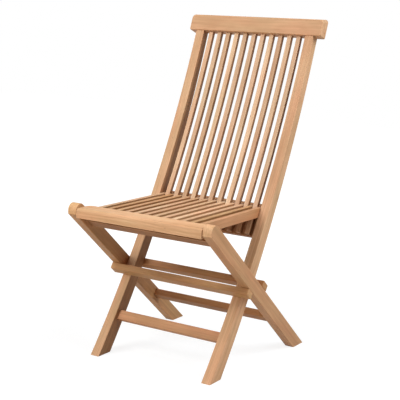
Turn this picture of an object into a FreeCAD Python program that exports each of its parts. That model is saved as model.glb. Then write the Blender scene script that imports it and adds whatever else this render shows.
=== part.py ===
import FreeCAD, Part
import math
import os
from FreeCAD import Vector

# Folding teak side chair in millimetres: X across, Y from front to back, Z up.
# Left and right are the sitter's, so the left side is at positive X.
# The side view is drawn with the lower front corner of the stiles at y = 0 and z = 0.
# Before the pieces are written they move along Y, until the origin lies under the middle of the chair.

# Widths across the chair
inner_width = 321.0
stile_thick = 26.0
leg_thick = 26.0
leg_gap = 2.0
seat_gap = 1.5

# Stiles: the front face is bowed to the rear, and the depth tapers from foot to top
stile_rise = 855.0
stile_run = 469.0
stile_bow = 38.0
stile_depth_foot = 43.0
stile_depth_top = 25.0

# Top rail across the stiles, with a level top
top_rail_length = 416.0
top_rail_height = 45.0
top_rail_thick = 31.0
top_rail_proud = 3.0
top_rail_high_corner = 10.0
top_rail_low_corner = 3.5

# Back slats, and the rail that carries their lower ends and the rear of the seat
back_slat_count = 11
back_slat_width = 13.0
back_slat_thick = 12.0
back_slat_inset = 6.0
back_slat_housing = 12.0
back_slat_low = 344.0
back_rail_low = 342.0
back_rail_thick = 15.0

# Front stretcher between the stiles
front_stretcher_low = 94.0
front_stretcher_width = 26.0
front_stretcher_thick = 18.0
front_stretcher_inset = 11.5

# Legs: straight bars with a head that is round on top and upright in front, round the pivot of the seat
leg_head_y = -50.5
leg_head_z = 398.5
leg_lean = 50.4
leg_depth = 36.8

# Rails between the legs, by the distance down the leg and in from its rear face
leg_rail_start = 42.0
leg_rail_width = 26.0
leg_rail_inset = 6.4
leg_rail_thick = 18.0
rear_stretcher_start = 454.0
rear_stretcher_width = 27.0
rear_stretcher_inset = 5.5
rear_stretcher_thick = 19.0

# Stop rails in the front and rear corners of the crossing
stop_rail_width = 27.0
stop_rail_thick = 17.3
stop_gap = 0.3

# Seat
seat_top = 407.5
seat_thick = 25.0
seat_front = -70.0
seat_front_depth = 55.0
seat_front_round = 9.0
seat_front_corner = 14.0
seat_strip_width = 13.0
seat_rear_front = 302.0
seat_rear_depth = 20.0
seat_rear_round = 8.0

# Mortise and tenon joints
tenon_length = 18.0
tenon_shoulder = 3.0
stub_length = 9.0
joint_gap = 0.1

# Pivot pins, blind in both parts, with washers in the gaps
pin_diameter = 8.0
pin_reach = 16.0
pin_clearance = 0.08
cross_washer_diameter = 22.0
seat_washer_diameter = 15.0
washer_play = 0.1

# Dowels between the stop rails and the stiles
dowel_diameter = 8.0
dowel_length = 28.0

# Rounding of the straight long edges, and the bevel on the bowed ones, the legs and the top rail
frame_round = 1.5
slat_round = 1.2
bow_bevel = 1.5
slat_bevel = 1.0

across = Vector(1, 0, 0)
back = Vector(0, 1, 0)
half_inner = inner_width / 2
stile_outer = half_inner + stile_thick
leg_inner = stile_outer + leg_gap
leg_outer = leg_inner + leg_thick
seat_half = leg_inner - seat_gap
seat_low = seat_top - seat_thick
pitch = (inner_width + back_slat_width) / (back_slat_count + 1)


# The stile's bowed faces in the side view
crown = Vector(0, stile_run, stile_rise)
chord = crown / crown.Length
bow_middle = crown / 2 + Vector(0, chord.z, -chord.y) * stile_bow
front_face = Part.Arc(Vector(), bow_middle, crown).toShape()
front_arc = front_face.Curve
bow_centre = front_arc.Center


def rearward(point):
    """Direction square to the stile's front face, to the rear."""
    return (point - bow_centre).normalize()


def upward(point):
    """Direction along the stile, up."""
    return across.cross(rearward(point))


def at_height(arc, height):
    """Point of an arc's circle at a height, on the side away from its centre."""
    rise = height - arc.Center.z
    return Vector(0, arc.Center.y + math.sqrt(arc.Radius ** 2 - rise ** 2), height)


def stile_point(height, depth):
    """Point behind the stile's front face, square to the place at a height on that face."""
    face = at_height(front_arc, height)
    return face + rearward(face) * depth


def arc_meets_line(arc, point, direction):
    """Nearest place where a line through a point meets the arc's circle."""
    offset = point - arc.Center
    along = offset.dot(direction)
    root = math.sqrt(along ** 2 - offset.dot(offset) + arc.Radius ** 2)
    return point + direction * min(root - along, -root - along, key=abs)


stile_middle = stile_point(stile_rise / 2, (stile_depth_foot + stile_depth_top) / 2)
crown_rear = stile_point(stile_rise, stile_depth_top)
rear_arc = Part.Arc(stile_point(0, stile_depth_foot), stile_middle, crown_rear).toShape().Curve
sole_rear = at_height(rear_arc, 0)

# Leg directions in the side view: down the leg, and square to it to the front
leg_head = Vector(0, leg_head_y, leg_head_z)
lean = math.radians(leg_lean)
leg_down = Vector(0, math.sin(lean), -math.cos(lean))
leg_front = Vector(0, -math.cos(lean), -math.sin(lean))


def leg_point(down, front):
    """Point in the side view by its distance down the leg and in front of its middle line."""
    return leg_head + leg_down * down + leg_front * front


def leg_sole(front):
    """Point on the floor in line with a lengthwise line of the leg."""
    start = leg_point(0, front)
    return start - leg_down * (start.z / leg_down.z)


# Corners where the faces of leg and stile cross, with the pivot midway between them
front_corner = arc_meets_line(front_arc, leg_point(0, leg_depth / 2), leg_down)
rear_corner = arc_meets_line(rear_arc, leg_point(0, -leg_depth / 2), leg_down)
cross_pivot = (front_corner + rear_corner) / 2


def prism(edges, left, right):
    """Solid between two X positions with the given side outline."""
    outline = Part.Face(Part.Wire(edges))
    outline.translate(across * left)
    return outline.extrude(across * (right - left))


def bar(corner, first, width, second, thick, inset, left, right):
    """Straight four-sided bar across the chair, made smaller by an inset on its long faces."""
    start = corner + (first + second) * inset
    side = first * (width - 2 * inset)
    rise = second * (thick - 2 * inset)
    loop = Part.makePolygon([start, start + side, start + side + rise, start + rise, start])
    return prism(loop.Edges, left, right)


def ring_point(radius, angle):
    return bow_centre + Vector(0, math.cos(angle), math.sin(angle)) * radius


def bowed_strip(low, high, depth, thick, left, right):
    """Strip that follows the stile's curve between two heights, with square ends."""
    start = math.asin((low - bow_centre.z) / front_arc.Radius)
    end = math.asin((high - bow_centre.z) / front_arc.Radius)
    middle = (start + end) / 2
    near = [ring_point(front_arc.Radius + depth, angle) for angle in (start, middle, end)]
    far = [ring_point(front_arc.Radius + depth + thick, angle) for angle in (end, middle, start)]
    edges = [
        Part.Arc(*near).toShape(),
        Part.makeLine(near[2], far[0]),
        Part.Arc(*far).toShape(),
        Part.makeLine(far[2], near[0]),
    ]
    return prism(edges, left, right)


def block(left, right, front, rear, low, high):
    """Square block between its six sides."""
    return Part.makeBox(right - left, rear - front, high - low, Vector(left, front, low))


def edges_where(solid, wanted):
    """Edges of a solid that pass a test on their middle direction and length."""
    chosen = []
    for edge in solid.Edges:
        middle = (edge.FirstParameter + edge.LastParameter) / 2
        if wanted(edge.tangentAt(middle).normalize(), edge.Length):
            chosen.append(edge)
    return chosen


def round_edges(solid, radius, wanted):
    return solid.makeFillet(radius, edges_where(solid, wanted))


def ease_edges(solid, width, wanted):
    """Narrow flat bevel on the edges that pass a test."""
    return solid.makeChamfer(width, edges_where(solid, wanted))


def lies_across(direction, length):
    """Test for the long edges of a bar that lies across the chair."""
    return abs(direction.x) > 0.99


def runs_long(direction, length):
    """Test for the long edges of a part that runs along the side view."""
    return abs(direction.x) < 0.01 and length > 2 * leg_depth


def joined(rail, tenon, mortise, posts):
    """Rail with its tenons, and the posts with mortises for them."""
    return rail.fuse(tenon).removeSplitter(), [post.cut(mortise) for post in posts]


def tenon_joint(section, reach, posts):
    """Rail with a tenon at each end, and its two posts with mortises, from an inset section."""
    rail = round_edges(section(0, -reach, reach), frame_round, lies_across)
    tip = reach + tenon_length
    mortise_tip = tip + joint_gap
    tenon = section(tenon_shoulder, -tip, tip)
    mortise = section(tenon_shoulder - joint_gap, -mortise_tip, mortise_tip)
    return joined(rail, tenon, mortise, posts)


def both_sides(make):
    """The same thing made for the left and for the right side."""
    return [make(1), make(-1)]


def rod(start, direction, diameter, length):
    return Part.makeCylinder(diameter / 2, length, start, direction)


def rod_out(pivot, side, start, end, diameter):
    """Rod on a pivot line between two distances from the chair's middle."""
    return rod(pivot + across * (side * start), across * side, diameter, end - start)


def washer(pivot, side, start, thick, diameter):
    disc = rod_out(pivot, side, start, start + thick, diameter)
    hole = rod_out(pivot, side, start, start + thick, pin_diameter + 2 * pin_clearance)
    return disc.cut(hole)


def pin_bores(pivot, start, end):
    """Bores for a pair of pins, with room around them and at both ends."""
    width = pin_diameter + 2 * pin_clearance
    return both_sides(lambda side: rod_out(pivot, side, start - joint_gap, end + joint_gap, width))


# Stiles
def make_stile(side):
    left, right = sorted((side * half_inner, side * stile_outer))
    edges = [
        front_face,
        Part.makeLine(crown, crown_rear),
        Part.Arc(crown_rear, stile_middle, sole_rear).toShape(),
        Part.makeLine(sole_rear, Vector()),
    ]
    return ease_edges(prism(edges, left, right), bow_bevel, runs_long)


stiles = both_sides(make_stile)

# Top rail: its underside rests on the square ends of the stiles, which enter it with tenons
top_lift = upward(crown)
top_depth = rearward(crown)
top_start = crown - top_depth * top_rail_proud
top_half = top_rail_length / 2


def is_low_corner(direction, length):
    """Test for the lower corners that the top rail shows from the front."""
    return abs(direction.dot(top_depth)) > 0.99


def is_high_corner(direction, length):
    """Test for the upper corners that the top rail shows from the front."""
    return abs(direction.y) > 0.99


front_high = top_start + top_lift * top_rail_height
rear_low = top_start + top_depth * top_rail_thick
rear_high = rear_low + top_lift * ((front_high.z - rear_low.z) / top_lift.z)
top_outline = Part.makePolygon([top_start, rear_low, rear_high, front_high, top_start])
top_rail = prism(top_outline.Edges, -top_half, top_half)
top_rail = round_edges(top_rail, top_rail_low_corner, is_low_corner)
top_rail = round_edges(top_rail, top_rail_high_corner, is_high_corner)
top_rail = ease_edges(top_rail, bow_bevel, lies_across)


def stile_tenon(side, gap):
    """Tenon on a stile's upper end, or with a gap the mortise for it."""
    shoulder = tenon_shoulder - gap
    left, right = sorted((side * (half_inner + shoulder), side * (stile_outer - shoulder)))
    start = crown + top_depth * shoulder - top_lift * tenon_shoulder
    height = tenon_shoulder + tenon_length + gap
    return bar(start, top_depth, stile_depth_top - 2 * shoulder, top_lift, height, 0, left, right)


for side in (1, -1):
    top_rail = top_rail.cut(stile_tenon(side, joint_gap))
stiles = [stile.fuse(stile_tenon(side, 0)).removeSplitter() for stile, side in zip(stiles, (1, -1))]

# Back slats, housed in the top rail and lapped on the lower back rail
slat_high = (crown + top_lift * back_slat_housing).z
pocket_start = crown + top_depth * back_slat_inset
slat_places = [pitch * (index - (back_slat_count - 1) / 2) for index in range(back_slat_count)]
back_slats = []
for place in slat_places:
    left = place - back_slat_width / 2
    right = place + back_slat_width / 2
    slat = bowed_strip(back_slat_low, slat_high, back_slat_inset, back_slat_thick, left, right)
    back_slats.append(ease_edges(slat, slat_bevel, runs_long))
    pocket = bar(pocket_start, top_depth, back_slat_thick, top_lift, back_slat_housing,
                 -joint_gap, left - joint_gap, right + joint_gap)
    top_rail = top_rail.cut(pocket)

# Lower back rail: behind the slats, with a level top just under the seat
back_rail_depth = back_slat_inset + back_slat_thick


def back_rail_section(inset, left, right):
    strip = bowed_strip(back_rail_low + inset, seat_top, back_rail_depth + inset,
                        back_rail_thick - 2 * inset, left, right)
    above = block(left, right, 0, stile_run, seat_low - stop_gap - inset, stile_rise)
    return strip.cut(above)


def front_stretcher_section(inset, left, right):
    corner = stile_point(front_stretcher_low, front_stretcher_inset)
    return bar(corner, upward(corner), front_stretcher_width, rearward(corner), front_stretcher_thick,
               inset, left, right)


back_rail, stiles = tenon_joint(back_rail_section, half_inner, stiles)
front_stretcher, stiles = tenon_joint(front_stretcher_section, half_inner, stiles)

# Legs
def follows_leg_side(direction, length):
    """Test for the outline of a leg, apart from its sole."""
    return abs(direction.x) < 0.01 and abs(direction.y) < 0.99


def make_leg(side):
    left, right = sorted((side * leg_inner, side * leg_outer))
    half = leg_depth / 2
    brow = leg_head - back * half
    nose = leg_point((brow.y - leg_point(0, half).y) / leg_down.y, half)
    top = leg_head - (back + leg_front).normalize() * half
    edges = [
        Part.makeLine(leg_sole(half), nose),
        Part.makeLine(nose, brow),
        Part.Arc(brow, top, leg_point(0, -half)).toShape(),
        Part.makeLine(leg_point(0, -half), leg_sole(-half)),
        Part.makeLine(leg_sole(-half), leg_sole(half)),
    ]
    return ease_edges(prism(edges, left, right), bow_bevel, follows_leg_side)


legs = both_sides(make_leg)


def leg_rail_section(inset, left, right):
    corner = leg_point(leg_rail_start, leg_rail_inset - leg_depth / 2)
    return bar(corner, leg_down, leg_rail_width, leg_front, leg_rail_thick, inset, left, right)


def rear_stretcher_section(inset, left, right):
    corner = leg_point(rear_stretcher_start, rear_stretcher_inset - leg_depth / 2)
    return bar(corner, leg_down, rear_stretcher_width, leg_front, rear_stretcher_thick, inset, left, right)


leg_rail, legs = tenon_joint(leg_rail_section, leg_inner, legs)
rear_stretcher, legs = tenon_joint(rear_stretcher_section, leg_inner, legs)

# Stop rails: one face on the stiles, one face against which the open legs rest
front_lift = upward(front_corner)
rear_lift = upward(rear_corner)
front_stop_corner = front_corner + leg_front * stop_gap - rearward(front_corner) * joint_gap
rear_stop_corner = rear_corner - leg_front * stop_gap + rearward(rear_corner) * joint_gap
front_stop = bar(front_stop_corner, -leg_down, stop_rail_width, -front_lift, stop_rail_thick,
                 0, -leg_outer, leg_outer)
rear_stop = bar(rear_stop_corner, leg_down, stop_rail_width, rear_lift, stop_rail_thick,
                0, -leg_outer, leg_outer)
front_stop = round_edges(front_stop, frame_round, lies_across)
rear_stop = round_edges(rear_stop, frame_round, lies_across)

# Dowels from the stop rails into the stiles
dowel_x = half_inner + stile_thick / 2
dowels = []
for corner, lift, outward in ((front_stop_corner, -front_lift, -rearward(front_corner)),
                              (rear_stop_corner, rear_lift, rearward(rear_corner))):
    for side in (1, -1):
        start = corner + lift * (stop_rail_thick / 2) - outward * (dowel_length / 2) + across * (side * dowel_x)
        dowels.append(rod(start, outward, dowel_diameter, dowel_length))
        hole = rod(start - outward * joint_gap, outward, dowel_diameter + 2 * joint_gap,
                   dowel_length + 2 * joint_gap)
        front_stop = front_stop.cut(hole)
        rear_stop = rear_stop.cut(hole)
        stiles = [stile.cut(hole) for stile in stiles]

# Seat: a front board, strips that pass between the back slats, and a rail behind the slats
seat_back_edge = seat_front + seat_front_depth
seat_rear_back = seat_rear_front + seat_rear_depth
front_board = block(-seat_half, seat_half, seat_front, seat_back_edge, seat_low, seat_top)


def round_at(solid, radius, y, z):
    """Rounds the edges whose middle has a given place in the side view."""
    place = Vector(0, y, z)
    near = [edge for edge in solid.Edges if (edge.CenterOfMass - place).cross(across).Length < joint_gap]
    return solid.makeFillet(radius, near)


front_board = round_at(front_board, seat_front_corner, seat_back_edge, (seat_low + seat_top) / 2)
front_board = round_at(front_board, seat_front_round, seat_front, seat_top)
front_board = round_at(front_board, frame_round, seat_front, seat_low)
strip_places = [pitch * (index - back_slat_count / 2) for index in range(back_slat_count + 1)]
rear_half = strip_places[-1] + seat_strip_width / 2
rear_rail = block(-rear_half, rear_half, seat_rear_front, seat_rear_back, seat_low, seat_top)
rear_rail = round_at(rear_rail, seat_rear_round, seat_rear_front, seat_top)


def stub_tenons(place, gap):
    """Both stub tenons of a seat strip in one block, or with a gap the mortises for them."""
    half = seat_strip_width / 2 - tenon_shoulder + gap
    reach = stub_length + gap
    shoulder = seat_rear_round - gap
    return block(place - half, place + half, seat_back_edge - reach, seat_rear_front + reach,
                 seat_low + shoulder, seat_top - shoulder)


strips = []
for place in strip_places:
    left = place - seat_strip_width / 2
    right = place + seat_strip_width / 2
    strip = block(left, right, seat_back_edge, seat_rear_front, seat_low, seat_top)
    strip = round_at(strip, slat_round, (seat_back_edge + seat_rear_front) / 2, seat_top)
    mortises = stub_tenons(place, joint_gap)
    strip, (front_board, rear_rail) = joined(strip, stub_tenons(place, 0), mortises, [front_board, rear_rail])
    strips.append(strip)

# Pins and washers
pin_tip = leg_inner + pin_reach
cross_start = stile_outer - pin_reach
seat_start = seat_half - pin_reach
stiles = [stile.cut(bore) for stile, bore in zip(stiles, pin_bores(cross_pivot, cross_start, pin_tip))]
legs = [leg.cut(bore) for leg, bore in zip(legs, pin_bores(cross_pivot, cross_start, pin_tip))]
legs = [leg.cut(bore) for leg, bore in zip(legs, pin_bores(leg_head, seat_start, pin_tip))]
for bore in pin_bores(leg_head, seat_start, pin_tip):
    front_board = front_board.cut(bore)
cross_pins = both_sides(lambda side: rod_out(cross_pivot, side, cross_start, pin_tip, pin_diameter))
seat_pins = both_sides(lambda side: rod_out(leg_head, side, seat_start, pin_tip, pin_diameter))
cross_washers = both_sides(
    lambda side: washer(cross_pivot, side, stile_outer, leg_gap - washer_play, cross_washer_diameter))
seat_washers = both_sides(
    lambda side: washer(leg_head, side, seat_half, seat_gap - washer_play, seat_washer_diameter))

pieces = {
    "left_stile": stiles[0],
    "right_stile": stiles[1],
    "top_rail": top_rail,
    "lower_back_rail": back_rail,
    "front_stretcher": front_stretcher,
    "front_stop_rail": front_stop,
    "rear_stop_rail": rear_stop,
    "left_leg": legs[0],
    "right_leg": legs[1],
    "leg_top_rail": leg_rail,
    "rear_stretcher": rear_stretcher,
    "seat_front_board": front_board,
    "seat_rear_rail": rear_rail,
    "seat_side_rail_right": strips[0],
    "seat_side_rail_left": strips[-1],
    "cross_pivot_pins": Part.Compound(cross_pins),
    "cross_pivot_washers": Part.Compound(cross_washers),
    "seat_pivot_pins": Part.Compound(seat_pins),
    "seat_pivot_washers": Part.Compound(seat_washers),
    "stop_rail_dowels": Part.Compound(dowels),
}
for number, slat in enumerate(back_slats, 1):
    pieces[f"back_slat_{number:02d}"] = slat
for number, slat in enumerate(strips[1:-1], 1):
    pieces[f"seat_slat_{number:02d}"] = slat

bounds = Part.Compound(list(pieces.values())).optimalBoundingBox()
middle = back * ((bounds.YMin + bounds.YMax) / 2)
os.makedirs("parts", exist_ok=True)
for name, piece in pieces.items():
    piece.translate(-middle)
    piece.exportStep(f"parts/{name}.step")
print("pivots at y, z:", cross_pivot - middle, leg_head - middle)
print("size:", bounds.XLength, bounds.YLength, bounds.ZLength)
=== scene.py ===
# %% [markdown]
# # A folding teak chair
# The imported model of the chair is loaded first. It fixes every size and the three bodies that
# move against each other: the back frame, the leg frame and the seat. What follows only dresses
# it: each bar gets softly rounded edges and a wood finish whose grain runs along that bar.
# The imported parts stay in the scene, hidden under the dressed pieces.

# %% Load the fixed frame
import math
import random

import bmesh
import bpy
from mathutils import Matrix, Vector


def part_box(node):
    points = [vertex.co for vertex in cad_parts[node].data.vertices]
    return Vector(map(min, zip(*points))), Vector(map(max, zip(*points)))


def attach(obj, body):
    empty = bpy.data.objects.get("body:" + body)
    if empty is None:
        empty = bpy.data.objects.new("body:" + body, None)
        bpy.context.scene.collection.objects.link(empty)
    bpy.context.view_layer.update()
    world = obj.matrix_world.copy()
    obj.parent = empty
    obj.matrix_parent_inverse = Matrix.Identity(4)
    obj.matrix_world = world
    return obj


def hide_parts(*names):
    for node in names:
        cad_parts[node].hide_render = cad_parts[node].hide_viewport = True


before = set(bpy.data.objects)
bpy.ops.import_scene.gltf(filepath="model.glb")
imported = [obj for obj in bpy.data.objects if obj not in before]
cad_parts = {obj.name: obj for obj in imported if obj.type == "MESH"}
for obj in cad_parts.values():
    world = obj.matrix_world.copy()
    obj.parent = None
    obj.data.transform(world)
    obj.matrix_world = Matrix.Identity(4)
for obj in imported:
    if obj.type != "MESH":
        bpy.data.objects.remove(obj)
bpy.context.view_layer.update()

# %% [markdown]
# ## Camera
# The chair was photographed with a long lens from its front left corner, a little above the
# seat. The straight edges of the bars gave the place and the turn of the camera. The picture
# was cropped off centre, so the camera has a small shift, and it leans a little to one side.

# %% Place the camera
CAMERA_PLACE = Vector((1.418, -2.311, 0.905))
CAMERA_YAW = math.radians(31.7)
CAMERA_PITCH = math.radians(-11.61)
CAMERA_ROLL = math.radians(2.28)
SENSOR_MM = 36.0
FOCAL_PIXELS = 1031.0
CENTRE_PIXEL = (196.0, 224.1)
PICTURE_PIXELS = 400.0


def placed(name, data):
    """New object in the scene."""
    made = bpy.data.objects.new(name, data)
    bpy.context.collection.objects.link(made)
    return made


ahead = Vector((-math.sin(CAMERA_YAW) * math.cos(CAMERA_PITCH),
                math.cos(CAMERA_YAW) * math.cos(CAMERA_PITCH),
                math.sin(CAMERA_PITCH)))
level = Vector((math.cos(CAMERA_YAW), math.sin(CAMERA_YAW), 0.0))
upright = level.cross(ahead)
right = level * math.cos(CAMERA_ROLL) + upright * math.sin(CAMERA_ROLL)
up = upright * math.cos(CAMERA_ROLL) - level * math.sin(CAMERA_ROLL)

lens = bpy.data.cameras.new("photo_lens")
lens.sensor_width = SENSOR_MM
lens.lens = FOCAL_PIXELS / PICTURE_PIXELS * SENSOR_MM
lens.shift_x = (PICTURE_PIXELS / 2 - CENTRE_PIXEL[0]) / PICTURE_PIXELS
lens.shift_y = (CENTRE_PIXEL[1] - PICTURE_PIXELS / 2) / PICTURE_PIXELS
camera = placed("photo_camera", lens)
camera.matrix_world = Matrix((right, up, -ahead)).transposed().to_4x4()
camera.location = CAMERA_PLACE
bpy.context.scene.camera = camera
print("lens:", round(lens.lens, 1), "mm, shift:", round(lens.shift_x, 3), round(lens.shift_y, 3))

# %% [markdown]
# ## Sizes of the chair
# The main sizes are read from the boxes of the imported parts, so the dressed chair can't drift
# away from them. The bow of the stiles, the lean of the legs and the sections of the rails
# don't show in a box. They are given where they are needed, in metres, with the numbers of the
# chair's drawing. Its side view has the front corner of the front foot at y = 0, and `FOOT_Y`
# moves it into place.

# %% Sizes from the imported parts
low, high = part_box("left_stile")
FOOT_Y = low.y
STILE_INNER = low.x
STILE_OUTER = high.x
low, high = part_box("left_leg")
LEG_INNER = low.x
LEG_OUTER = high.x
low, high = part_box("seat_front_board")
SEAT_LOW = low.z
SEAT_TOP = high.z
print("between stiles", round(2 * STILE_INNER, 4), "m, over legs", round(2 * LEG_OUTER, 4), "m")

# %% [markdown]
# ## Teak
# Bare teak is a warm tan with fine dark pores that run along each bar, broad bands from the
# growth rings, and a different shade in every bar, from straw yellow to pinkish brown. A
# picture of wood would repeat and could not follow the bowed stiles. So each bar carries its
# own measure in the attribute `grain`: how far a point lies along the bar, and where it lies
# in the bar's section. The attribute `tint` holds one number for a bar, and picks its shade.
# The others say where the wood differs: `edge` on the rubbed narrow faces, `cut_end` where the bar was cut
# to length, and `faded` where the sun has bleached the slats. One more carries painted shade, which darkens
# the faces between the slats and close under the seat.

# %% What the teak reads from a bar
def feed(tree, socket, value):
    """Gives an input a number or a colour, or links another node's output to it."""
    if isinstance(value, bpy.types.NodeSocket):
        tree.links.new(value, socket)
    elif socket.type == "RGBA":
        socket.default_value = (*value, 1.0)
    else:
        socket.default_value = value


def node(tree, kind, place, **values):
    """Adds a node. The values name its properties first, then its inputs, with _ for a space."""
    made = tree.nodes.new(kind)
    made.location = place
    for key, value in values.items():
        if hasattr(made, key):
            setattr(made, key, value)
        else:
            feed(tree, made.inputs[key.replace("_", " ")], value)
    return made


def empty_material(name):
    """New material, and its tree without any nodes."""
    made = bpy.data.materials.new(name)
    made.use_nodes = True
    made.node_tree.nodes.clear()
    return made, made.node_tree


def carried(name, height, output="Fac"):
    """What a bar carries in an attribute."""
    return node(wood, "ShaderNodeAttribute", (-1200, height), attribute_name=name).outputs[output]


teak, wood = empty_material("teak")
grain = carried("grain", 0, "Vector")
tint = carried("tint", 400)
worn = carried("edge", 600)
cut = carried("cut_end", 800)
# painted shade, for faces between the bars and close under the seat
painted_shade_share = carried("painted_shade", 1000)
faded = carried("faded", 1200)
print("teak reads:", [reader.attribute_name for reader in wood.nodes])

# %% [markdown]
# ### Growth rings
# On a real board the rings show as lines on the faces and as arcs on the cut ends, and they
# meet at the corners. Lines drawn on each face for itself would not meet. So the rings are
# circles round a pith outside the bar, and all faces cut through the same circles. One noise
# lets the pith wander, and another lets the rings fade in places.

# %% Growth rings round a wandering pith
WANDER_ACROSS = 0.05
WANDER_DEEP = 0.03
RING_WAVE = 1250.0  # radians for each metre from the pith, which makes a ring every 5 mm
RING_SHARPNESS = 2.0


def maths(tree, operation, place, *values):
    """Result of a calculation with numbers or other nodes' outputs."""
    made = node(tree, "ShaderNodeMath", place, operation=operation)
    for socket, value in zip(made.inputs, values):
        feed(tree, socket, value)
    return made.outputs["Value"]


def stretched_noise(tree, source, place, scale, detail=3.0, roughness=0.55):
    """Noise with its own scale along each axis of the source, so that it can be drawn out."""
    spread = node(tree, "ShaderNodeMapping", place, Vector=source, Scale=scale)
    noise = node(tree, "ShaderNodeTexNoise", (place[0] + 180, place[1]), Vector=spread.outputs["Vector"],
                 Scale=1.0, Detail=detail, Roughness=roughness)
    return noise.outputs["Fac"]


wander = stretched_noise(wood, grain, (-1000, -250), (2.2, 9.0, 9.0), 2.0)
along, across, deep = node(wood, "ShaderNodeSeparateXYZ", (-1000, -500), Vector=grain).outputs
side = maths(wood, "MULTIPLY_ADD", (-800, -500), wander, WANDER_ACROSS, across)
depth = maths(wood, "MULTIPLY_ADD", (-800, -650), wander, WANDER_DEEP, deep)
squares = maths(wood, "ADD", (-600, -550), maths(wood, "MULTIPLY", (-700, -500), side, side),
                maths(wood, "MULTIPLY", (-700, -650), depth, depth))
from_pith = maths(wood, "SQRT", (-500, -550), squares)
wave = maths(wood, "SINE", (-300, -550), maths(wood, "MULTIPLY", (-400, -550), from_pith, RING_WAVE))
band = maths(wood, "MULTIPLY_ADD", (-200, -550), wave, 0.5, 0.5)  # brings -1 to 1 over to 0 to 1
present = stretched_noise(wood, grain, (-1000, -850), (5.0, 40.0, 40.0), 2.0)
rings = maths(wood, "MULTIPLY", (0, -600), maths(wood, "POWER", (-100, -550), band, RING_SHARPNESS), present)
print("rings are", round(2 * math.pi / RING_WAVE * 1000, 1), "mm apart")

# %% [markdown]
# ### Shade, streaks and pores
# Each bar takes its shade from one row of colours, as its tint asks. Four noises lie over it,
# from slow changes of warmth to single fibres. They multiply the shade by a little more or
# less than one, because then a dark bar varies as much as a pale one. The brown lines of the
# rings and the dark pores come on top.

# %% Shade of a bar and how it varies
NOISE_LOW = 0.3  # a noise seldom leaves the range between these two
NOISE_HIGH = 0.7


def rgb(red, green, blue):
    """Linear colour of a screen colour given as 0 to 255."""
    def linear(level):
        share = level / 255
        return share / 12.92 if share <= 0.04045 else ((share + 0.055) / 1.055) ** 2.4
    return (linear(red), linear(green), linear(blue))


def ramp(tree, place, value, stops):
    """Colour for a value, from (position, colour) pairs."""
    made = node(tree, "ShaderNodeValToRGB", place, Fac=value)
    elements = made.color_ramp.elements
    while len(elements) < len(stops):
        elements.new(0.5)
    for element, (position, colour) in zip(elements, stops):
        element.position = position
        element.color = (*colour, 1.0)
    return made.outputs["Color"]


def socket_of(sockets, label, kind):
    """The socket of one type, on a node that has the same label for several types."""
    return next(socket for socket in sockets if socket.name == label and socket.type == kind)


def mixed(tree, place, share, first, second, blend="MIX"):
    """Mix of two colours by a share of the second."""
    made = node(tree, "ShaderNodeMix", place, data_type="RGBA", blend_type=blend, Factor=share)
    feed(tree, socket_of(made.inputs, "A", "RGBA"), first)
    feed(tree, socket_of(made.inputs, "B", "RGBA"), second)
    return socket_of(made.outputs, "Result", "RGBA")


TEAK_SHADES = [(0.0, rgb(164, 112, 68)), (0.2, rgb(187, 138, 92)), (0.3, rgb(194, 147, 102)),
               (0.36, rgb(199, 144, 104)), (0.45, rgb(204, 160, 120)), (0.6, rgb(208, 160, 123)),
               (0.75, rgb(215, 172, 134)), (0.9, rgb(227, 178, 138)), (1.0, rgb(231, 188, 147))]
patches = stretched_noise(wood, grain, (-1000, -1100), (6.0, 14.0, 14.0), 2.0)
warmth = stretched_noise(wood, grain, (-1000, -1350), (7.0, 32.0, 32.0), 2.0)
streaks = stretched_noise(wood, grain, (-1000, -1600), (3.0, 120.0, 120.0), 4.0, 0.6)
fibres = stretched_noise(wood, grain, (-1000, -1850), (30.0, 1100.0, 1100.0), 3.0, 0.6)

# Each change: its noise, what multiplies the shade where that is low, and where it is high
CHANGES = [(warmth, (1.03, 0.945, 0.90), (0.985, 1.045, 1.0)),
           (patches, (0.87, 0.83, 0.77), (1.09, 1.10, 1.12)),
           (streaks, (0.83, 0.75, 0.64), (1.12, 1.14, 1.18)),
           (fibres, (0.94, 0.93, 0.90), (1.04, 1.04, 1.05))]
colour = ramp(wood, (-500, 400), tint, TEAK_SHADES)
for i, (noise, at_low, at_high) in enumerate(CHANGES):
    x, y = -200 + 300 * i, 400 - 100 * i
    change = ramp(wood, (x, y), noise, [(NOISE_LOW, at_low), (NOISE_HIGH, at_high)])
    colour = mixed(wood, (x + 300, y), 1.0, colour, change, "MULTIPLY")
print(len(TEAK_SHADES), "shades,", len(CHANGES), "changes of each")

# %% Rings and pores
RING_COLOUR = rgb(176, 122, 80)
RING_SHARE = 0.42
PORE_COLOUR = rgb(132, 88, 52)
PORE_SHARE = 0.38
PORES_FROM = 0.57
PORES_FULL = 0.74


def between(tree, place, value, low, high, to_low=0.0, to_high=1.0, way="LINEAR"):
    """Carries a range of a value over to another range."""
    made = node(tree, "ShaderNodeMapRange", place, interpolation_type=way, Value=value,
                From_Min=low, From_Max=high, To_Min=to_low, To_Max=to_high)
    return made.outputs["Result"]


fine = stretched_noise(wood, grain, (-1000, -2100), (11.0, 800.0, 800.0), 4.0, 0.65)
pores = between(wood, (-500, -2100), fine, PORES_FROM, PORES_FULL)
ring_lines = maths(wood, "MULTIPLY", (400, -200), rings, RING_SHARE)
pore_lines = maths(wood, "MULTIPLY", (500, -400), pores, PORE_SHARE)
colour = mixed(wood, (1100, 200), ring_lines, colour, RING_COLOUR)
colour = mixed(wood, (1250, 150), pore_lines, colour, PORE_COLOUR)
print("teak has", len(wood.nodes), "nodes so far")

# %% [markdown]
# ### Knots
# Good teak has few knots, and they are small. A noise would give soft blots of any size. A
# Voronoi texture scatters one point in each cell of space instead, and the distance to it
# makes a small knot, drawn out along the bar. Each cell also has its own chance colour, and
# only the cells with a high one get their knot.

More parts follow.
